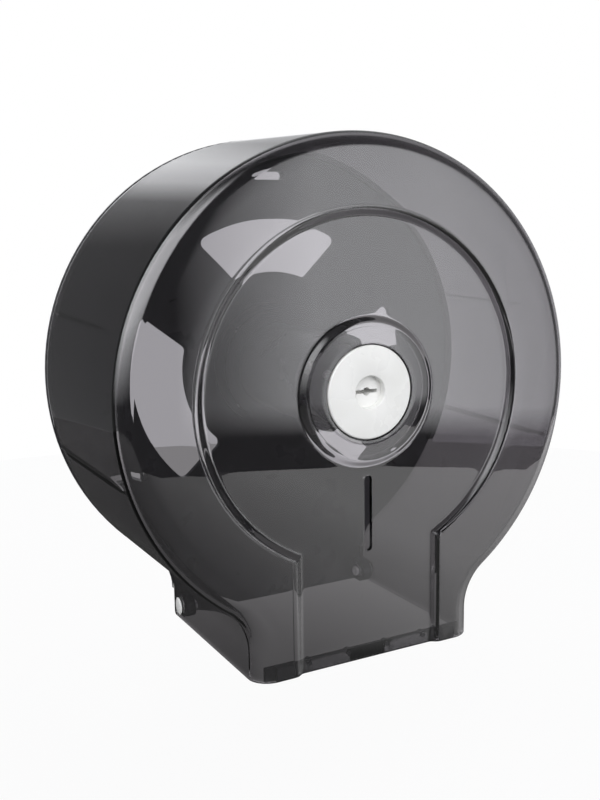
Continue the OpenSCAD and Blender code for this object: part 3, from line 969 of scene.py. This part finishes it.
        inner_far = np.linalg.norm(inner_rim[:, :2], axis=1)
        inner_way = inner_rim[:, :2] / inner_far[:, None]
        arch = (self.arch_r + self.inner_out, self.arch_half + self.inner_out, self.inner_step_w)
        steep = np.linspace(*self.slope_rows[::-1], 9)
        step = np.minimum(self.panel_reach(inner_way, steep, *arch), inner_far)
        inside = self.hollow_r + (step[0] - self.hollow_r) * np.linspace(0, 1, 12)[1:-1, None]
        outside = step[-1] + (inner_far - step[-1]) * np.linspace(0, 1, 5)[1:, None]
        inner_rows = np.concatenate([inside, step, outside])
        inner_flat = inner_rows[..., None] * inner_way
        inner_z = self.border_in - self.step_h * ramp(self.panel_share(inner_flat, *arch))
        inner = np.concatenate([inner_flat, inner_z[..., None]], axis=-1)
        return np.concatenate([outer, middle, inner])

    def edge_strip(self, outer: np.ndarray, inner: np.ndarray, axis: int) -> np.ndarray:
        """The narrow face between the outer and inner faces' ends, with both its corners rounded.

        Args:
            outer: the outer face's last points, stations by 3.
            inner: the inner face's last points.
            axis: 1 where the edge faces down, 2 where it faces the wall.

        Returns:
            An array of rows by stations by 3.
        """
        soft = self.edge_soft
        turn = corner(0, 0, soft, 180, 90, 3)
        across = np.concatenate([soft + turn[:, 0], self.wall - soft - turn[::-1, 0]]) / self.wall
        short = np.concatenate([soft - turn[:, 1], soft - turn[::-1, 1]])
        strip = outer + (inner - outer) * across[:, None, None]
        strip[..., axis] += short[:, None] - soft
        return strip

    def cutters(self) -> bpy.types.Mesh:
        """What is cut out of the casing: the sight slot, the two hinge bores and the wedge outside the heels.

        Returns:
            A mesh of closed prisms.
        """
        tool = Surface()
        end = self.slot_w / 2
        high, deep = self.slot_top - end, self.slot_top - self.slot_len + end
        round_ends = np.concatenate([corner(0, high, end, 0, 180, 16), corner(0, deep, end, 180, 360, 16)])
        over = self.cut_over
        levels = np.array([self.panel_in - over, self.panel_z + over])
        self.prism(tool, round_ends, levels, (0, 1, 2))
        circle = corner(self.hinge_y, self.hinge_z, self.bore_r, 0, 360, 48)[:-1]
        for side in (-1, 1):
            span = side * np.array([self.mouth_half - self.wall - over, self.mouth_half + over])
            self.prism(tool, circle, span, (1, 2, 0))
        low, back, heel = self.mouth_low, self.back, self.heel_r
        wedge = np.concatenate(
            [
                [[low - over, back - over], [low - over, back + heel]],
                corner(low + heel, back + heel, heel, 180, 270, 10),
                [[low + heel, back - over]],
            ]
        )
        self.prism(tool, wedge, np.array([-self.mouth_half - over, self.mouth_half + over]), (1, 2, 0))
        return tool.mesh("casing_cutters")

    @staticmethod
    def prism(tool: Surface, outline: np.ndarray, ends: np.ndarray, axes: tuple[int, int, int]) -> None:
        """Adds a closed prism: the outline at both ends, with a point in the middle of each end.

        Args:
            tool: the surface that gets it.
            outline: points of the outline.
            ends: where it starts and ends.
            axes: the axes of the outline's two coordinates and of the ends.
        """
        middle = outline.mean(axis=0)
        flat = np.stack([middle + 0 * outline, outline, outline, middle + 0 * outline])
        along = np.array([ends[0], ends[0], ends[1], ends[1]])[:, None, None]
        points = np.concatenate([flat, np.broadcast_to(along, (*flat.shape[:2], 1))], axis=-1)
        tool.grid(hung(points[..., np.argsort(axes)]), ring=True)

    def mesh(self) -> bpy.types.Mesh:
        """Joins the side walls, the front and the edges, and cuts the openings.

        Returns:
            The casing's mesh.
        """
        outer, inner = self.side(0), self.side(self.wall)
        slopes = self.arch_half - self.step_w * np.linspace(*self.slope_rows, 12)
        half = outer[-1, 0, 0]
        beside = [self.arch_half + self.inner_out, self.panel_end]
        right = np.sort(np.concatenate([slopes, beside, np.arange(2.0, 36, 3.5)]))
        across = np.concatenate([-right[::-1], right])

        def rim(side: np.ndarray) -> np.ndarray:
            """The front's rim: the side walls' last row, and then points along the mouth.

            Args:
                side: a face of the side walls.

            Returns:
                An array of points by 3.
            """
            last = side[-1]
            share = (across[:, None] + half) / (2 * half)
            return np.concatenate([last, last[-1] + (last[0] - last[-1]) * share])

        front = self.front(rim(outer), rim(inner))
        rays = outer.shape[1]
        body = Surface()
        body.grid(hung(outer))
        body.grid(hung(inner))
        body.grid(hung(front), ring=True)
        rear = self.edge_strip(outer[0], inner[0], 2)
        body.grid(hung(rear))

        def stations(side: np.ndarray, edge: np.ndarray) -> np.ndarray:
            """Points along the lower edge: up the left side wall, across the front, and down the right one.

            Args:
                side: a face of the side walls.
                edge: the front's rim on that face.

            Returns:
                An array of points by 3.
            """
            return np.concatenate([side[:-1, -1], edge[rays - 1 :], side[::-1, 0]])

        under = self.edge_strip(stations(outer, front[0]), stations(inner, front[-1]), 1)
        body.grid(hung(under))
        body.grid(hung(np.stack([rear[:, -1], under[:, 0]])))
        body.grid(hung(np.stack([rear[:, 0], under[:, -1]])))
        return cut_away(body.mesh("cover_skin"), self.cutters(), 30)

    def build(self, palette: Palette) -> None:
        """Makes the casing and dresses it.

        Args:
            palette: the finishes.
        """
        piece(self.mesh(), Body.COVER, Slot.SMOKED, palette, "cover_shell")


@dataclass
class Rosette:
    """The white rosette with the lock's barrel behind it."""

    face: float = 128.4
    back: float = 126.8
    radius: float = 24.5
    edge_r: float = 1.0
    bore_r: float = 8.55
    bore_edge: float = 0.7
    shoulder_z: float = 111.0
    neck_r: float = 5.05
    barrel_r: float = 13.0
    barrel_end: float = 106.0
    barrel_edge: float = 0.5
    face_mid: float = 16.0

    def mesh(self) -> bpy.types.Mesh:
        """Turns the rosette's closed profile round its axis.

        Returns:
            The mesh.
        """
        end, shoulder = self.barrel_end, self.shoulder_z
        profile = np.concatenate(
            [
                [[self.neck_r, end], [self.neck_r, shoulder], [self.bore_r, shoulder]],
                corner(self.bore_r + self.bore_edge, self.face - self.bore_edge, self.bore_edge, 180, 90),
                [[self.face_mid, self.face]],
                corner(self.radius - self.edge_r, self.face - self.edge_r, self.edge_r, 90, 0, 6),
                [[self.radius, self.back], [self.barrel_r, self.back]],
                corner(self.barrel_r - self.barrel_edge, end + self.barrel_edge, self.barrel_edge, 0, -90, 3),
            ]
        )
        surface = Surface()
        surface.grid(hung(lathe(profile, 144)), ring=True, column=True)
        return surface.mesh("rosette_skin", 35)

    def build(self, palette: Palette) -> None:
        """Makes the rosette and dresses it.

        Args:
            palette: the finishes.
        """
        piece(self.mesh(), Body.COVER, Slot.WHITE, palette, "lock_rosette")


@dataclass
class HingePins:
    """The two hinge pins: a domed head outside the cover, and a shank with a groove for its clip."""

    head_x: float = 66.7
    head_r: float = 5.2
    head_t: float = 1.3
    pin_r: float = 3.0
    tip_x: float = 53.3
    tip_edge: float = 0.4
    dome_in: float = 0.4
    dome_h: float = 0.85
    rim_in: float = 0.15
    rim: tuple[float, float] = (0.2, 0.35)
    groove: tuple[float, float] = (55.2, 56.4)
    groove_r: float = 2.4
    hinge_y: float = -141.5
    hinge_z: float = 13.0

    def mesh(self, name: str, side: int) -> bpy.types.Mesh:
        """Turns a pin's profile round the hinge axis.

        Args:
            name: name of the mesh.
            side: 1 for the right pin, -1 for the left one.

        Returns:
            The mesh.
        """
        start, end = self.groove
        tip, head = self.tip_x, self.head_x
        dome = corner(0, 0, 1, 0, 90, 8) * [self.head_r - self.dome_in, self.dome_h]
        profile = np.concatenate(
            [
                [[0, tip], [self.pin_r - self.tip_edge, tip], [self.pin_r, tip + self.tip_edge]],
                [[self.pin_r, start], [self.groove_r, start], [self.groove_r, end], [self.pin_r, end]],
                [[self.pin_r, head], [self.head_r - self.rim_in, head]],
                [[self.head_r, head + self.rim[0]], [self.head_r, head + self.rim[1]]],
                dome + [0, head + self.head_t - self.dome_h],
            ]
        )
        around = lathe(profile, 48)
        turned = [side * around[..., 2], self.hinge_y + around[..., 1], self.hinge_z + around[..., 0]]
        surface = Surface()
        surface.grid(hung(np.stack(turned, axis=-1)), ring=True)
        return surface.mesh(name, 35)

    def build(self, palette: Palette) -> None:
        """Makes both pins and dresses them.

        Args:
            palette: the finishes.
        """
        for node, side in (("hinge_pin_left", -1), ("hinge_pin_right", 1)):
            piece(self.mesh(node + "_skin", side), Body.BASE, Slot.WHITE, palette, node)


@dataclass
class CadPieces:
    """The CAD nodes that show as they are, each with the finish of its slot in the record."""

    def build(self, palette: Palette) -> None:
        """Dresses each node that no new piece stands for.

        Args:
            palette: the finishes.
        """
        for part in frame["record"]["subparts"]:
            node = frame["nodes"][part["node"]]
            if not node.hide_render:
                palette.dress(node, Slot(part["material_slot"]))
                LOG.info("%s: finish of %s", part["node"], part["material_slot"])


# Studio


@dataclass(frozen=True)
class Softbox:
    """A soft light of the room, bounded in direction.

    Its turn is the angle in degrees from the object's front (-Y) towards its right (+X), and its height is
    the upright part of the direction. The pairs say where it fades in and is full, or is full and fades out.
    It has one strength in mirror images and through clear plastic, and another on matt surfaces.
    """

    name: str
    turn_in: tuple[float, float]
    turn_out: tuple[float, float]
    height_in: tuple[float, float]
    height_out: tuple[float, float]
    mirrored: float
    matt: float

    def glow(self, graph: Graph, turn: Socket, height: Socket, mirror: Socket) -> Socket:
        """Adds the light's share of the world.

        Args:
            graph: the world's graph.
            turn: the direction's turn in degrees.
            height: the direction's height.
            mirror: 1 in mirror images and through clear plastic, and 0 elsewhere.

        Returns:
            The light's strength in that direction.
        """
        value = graph.span(turn, 0.0, graph.span(mirror, self.matt, self.mirrored), *self.turn_in)
        for way, (start, end), low, high in (
            (turn, self.turn_out, 1.0, 0.0),
            (height, self.height_in, 0.0, 1.0),
            (height, self.height_out, 1.0, 0.0),
        ):
            value = graph.math("MULTIPLY", value, graph.span(way, low, high, start, end))
        LOG.info("softbox %s", self.name)
        return value


@dataclass
class Studio:
    """The floor, the world with its soft lights, and the camera.

    The floor's fours are the brightness at the start and the end of a stretch, and the stretch in metres:
    away from the origin for the painted shadow, and ahead along Y and across along X for the painted light.
    """

    floor_z: float = -0.36
    floor_r: float = 1.37
    floor_seen: float = 1.02
    # painted shadow of the object on the floor, seen through the plastic: a grey that is darker near the
    # object
    floor_away: tuple[float, float, float, float] = (0.13, 0.6, 0.45, 1.15)
    # painted light on the floor, mirrored in the plastic: a glow brighter in front and to the right
    floor_ahead: tuple[float, float, float, float] = (1.7, 0.18, -0.5, 0.1)
    floor_across: tuple[float, float, float, float] = (0.2, 1.0, 0.18, 0.48)
    floor_glow: float = 0.86
    floor_dull: Colour = (0.2, 0.2, 0.2)
    floor_pale: Colour = (0.8, 0.8, 0.8)
    softboxes: tuple[Softbox, ...] = (
        Softbox("right_front", (19, 27), (34, 53), (-0.215, -0.185), (0.15, 0.32), 3.05, 3.05),
        Softbox("left", (-134, -122), (-23, -13), (-0.14, 0.36), (0.75, 0.95), 5.0, 1.5),
        Softbox("behind_top", (159, 167), (174, 180), (0.12, 0.2), (0.5, 0.8), 0.6, 0.6),
        Softbox("front_top", (-50, -35), (35, 50), (0.15, 0.3), (0.8, 1.0), 0.0, 2.2),
    )
    base_light: float = 0.13
    light_colour: Colour = (0.972, 0.978, 1.0)
    wall_back: tuple[float, float] = (0.2, 0.5)
    wall_fade: tuple[float, float] = (-0.17, 0.17)
    wall_top: tuple[float, float] = (0.09, 0.16)
    wall_dim: float = 0.5
    spot: tuple[float, float, float] = (-0.25142392, -0.56134947, 0.08784876)
    right: tuple[float, float, float] = (0.869031, -0.494727, -0.005476)
    up: tuple[float, float, float] = (0.083317, 0.135427, 0.987278)
    ahead: tuple[float, float, float] = (0.487691, 0.858432, -0.158910)
    focal_px: float = 992.217
    centre_px: tuple[float, float] = (361.262, 378.635)
    image_px: tuple[int, int] = (600, 800)

    def camera(self) -> None:
        """Sets the camera by the vectors that its picture of the object was solved for."""
        wide, tall = self.image_px
        data = bpy.data.cameras.new("camera")
        data.sensor_width = 36
        data.sensor_fit = "AUTO"
        data.lens = self.focal_px / tall * data.sensor_width
        data.shift_x = (wide / 2 - self.centre_px[0]) / tall
        data.shift_y = (self.centre_px[1] - tall / 2) / tall
        data.clip_start = 0.01
        obj = placed("camera", data)
        axes = np.array([self.right, self.up, [-part for part in self.ahead]]).T
        obj.matrix_world = Matrix.Translation(self.spot) @ Matrix(axes.tolist()).to_4x4()
        bpy.context.scene.camera = obj

    def world(self) -> None:
        """White where the camera sees it, and a dim room with soft lights elsewhere.

        Behind the object the room is a white wall, which fades out towards the left, past the camera's sight.
        So the smoked plastic shows the white wall through it, and its left side stays dark.
        """
        world = bpy.data.worlds.new("studio")
        world.use_nodes = True
        bpy.context.scene.world = world
        graph = Graph(world.node_tree)
        shade = world.node_tree.nodes["Background"]
        where = graph.node("ShaderNodeTexCoord")
        split = graph.node("ShaderNodeSeparateXYZ")
        graph.link(where.outputs["Generated"], split.inputs[0])
        right, back, up = split.outputs
        turn = graph.math("DEGREES", graph.math("ARCTAN2", right, graph.math("MULTIPLY", back, -1.0)))
        wall = graph.span(back, 0.0, 1 - self.base_light, *self.wall_back)
        wall = graph.math("MULTIPLY", wall, graph.span(right, 0.0, 1.0, *self.wall_fade))
        wall = graph.math("MULTIPLY", wall, graph.span(up, 1.0, self.wall_dim, *self.wall_top))
        room = graph.math("ADD", wall, self.base_light)
        path = graph.node("ShaderNodeLightPath")
        for softbox in self.softboxes:
            room = graph.math("ADD", room, softbox.glow(graph, turn, up, path.outputs["Is Glossy Ray"]))
        camera = path.outputs["Is Camera Ray"]
        graph.link(graph.mix(camera, self.light_colour, (1.0, 1.0, 1.0)), shade.inputs["Color"])
        graph.link(graph.span(camera, room, 1.0), shade.inputs["Strength"])

    def floor_mesh(self) -> bpy.types.Mesh:
        """A flat round disc.

        Returns:
            The mesh.
        """
        ring = lathe(np.array([[0.0, 0.0], [0.4, 0.0], [1.0, 0.0]]) * [self.floor_r / MM, 1], 96)
        surface = Surface()
        surface.grid(ring * MM + [0, 0, self.floor_z], ring=True)
        mesh = bpy.data.meshes.new("floor")
        mesh.from_pydata(surface.points[0], [], surface.quads[0])
        work = bmesh.new()
        work.from_mesh(mesh)
        bmesh.ops.remove_doubles(work, verts=work.verts, dist=MERGE)
        work.to_mesh(mesh)
        work.free()
        return mesh

    def floor(self) -> None:
        """A round pale floor that keeps a faint shadow.

        The camera sees the background's white with a diffuse share, so that the shadow stays. Seen through
        the plastic it shows a painted shadow, a grey that is darker near the object, and mirrored in it a
        painted pool of light by its place, brighter in front and to the right. Other surfaces see a dull
        floor.
        """
        mesh = self.floor_mesh()
        material, graph, shader = new_material("floor_pale")
        shader.inputs["Roughness"].default_value = 0.9
        path = graph.node("ShaderNodeLightPath")
        camera, through = path.outputs["Is Camera Ray"], path.outputs["Is Transmission Ray"]
        mirrored = graph.math("SUBTRACT", path.outputs["Is Glossy Ray"], through)
        mirrored = graph.math("MAXIMUM", mirrored, 0.0)
        graph.link(graph.mix(camera, self.floor_dull, self.floor_pale), shader.inputs["Base Color"])
        where = graph.node("ShaderNodeNewGeometry").outputs["Position"]
        reach = graph.node("ShaderNodeVectorMath", operation="LENGTH")
        graph.link(where, reach.inputs[0])
        place = graph.node("ShaderNodeSeparateXYZ")
        graph.link(where, place.inputs[0])
        # painted shadow: an emitted grey for rays through the plastic, darker near the object
        painted_shadow = graph.span(reach.outputs["Value"], *self.floor_away)
        # painted light: an emitted glow for mirrored rays, brighter in front and to the right
        painted_light = graph.span(place.outputs["Y"], *self.floor_ahead)
        painted_light = graph.math("MULTIPLY", painted_light, graph.span(place.outputs["X"], *self.floor_across))
        glow = graph.node("ShaderNodeEmission")
        level = graph.math("MULTIPLY", camera, self.floor_seen)
        for share, value in ((through, painted_shadow), (mirrored, painted_light)):
            level = graph.math("ADD", level, graph.math("MULTIPLY", share, value))
        graph.link(level, glow.inputs["Strength"])
        seen = graph.math("MULTIPLY", camera, self.floor_glow)
        seen = graph.math("ADD", seen, graph.math("MAXIMUM", through, mirrored))
        graph.finish(seen, shader.outputs[0], glow.outputs[0])
        mesh.materials.append(material)
        placed("floor", mesh)

    def build(self) -> None:
        """Sets up the camera, the world with its softboxes, and the floor."""
        self.camera()
        self.world()
        self.floor()
        bpy.context.scene.view_settings.view_transform = "Standard"


def main() -> None:
    """Builds the sub-assemblies, dresses the CAD nodes and sets up the studio."""
    logging.basicConfig(level=logging.INFO, format="%(message)s")
    Studio().build()
    palette = Palette()
    for assembly in (Casing(), Rosette(), HingePins(), CadPieces()):
        assembly.build(palette)
    bpy.context.view_layer.update()


if __name__ == "__main__":
    main()
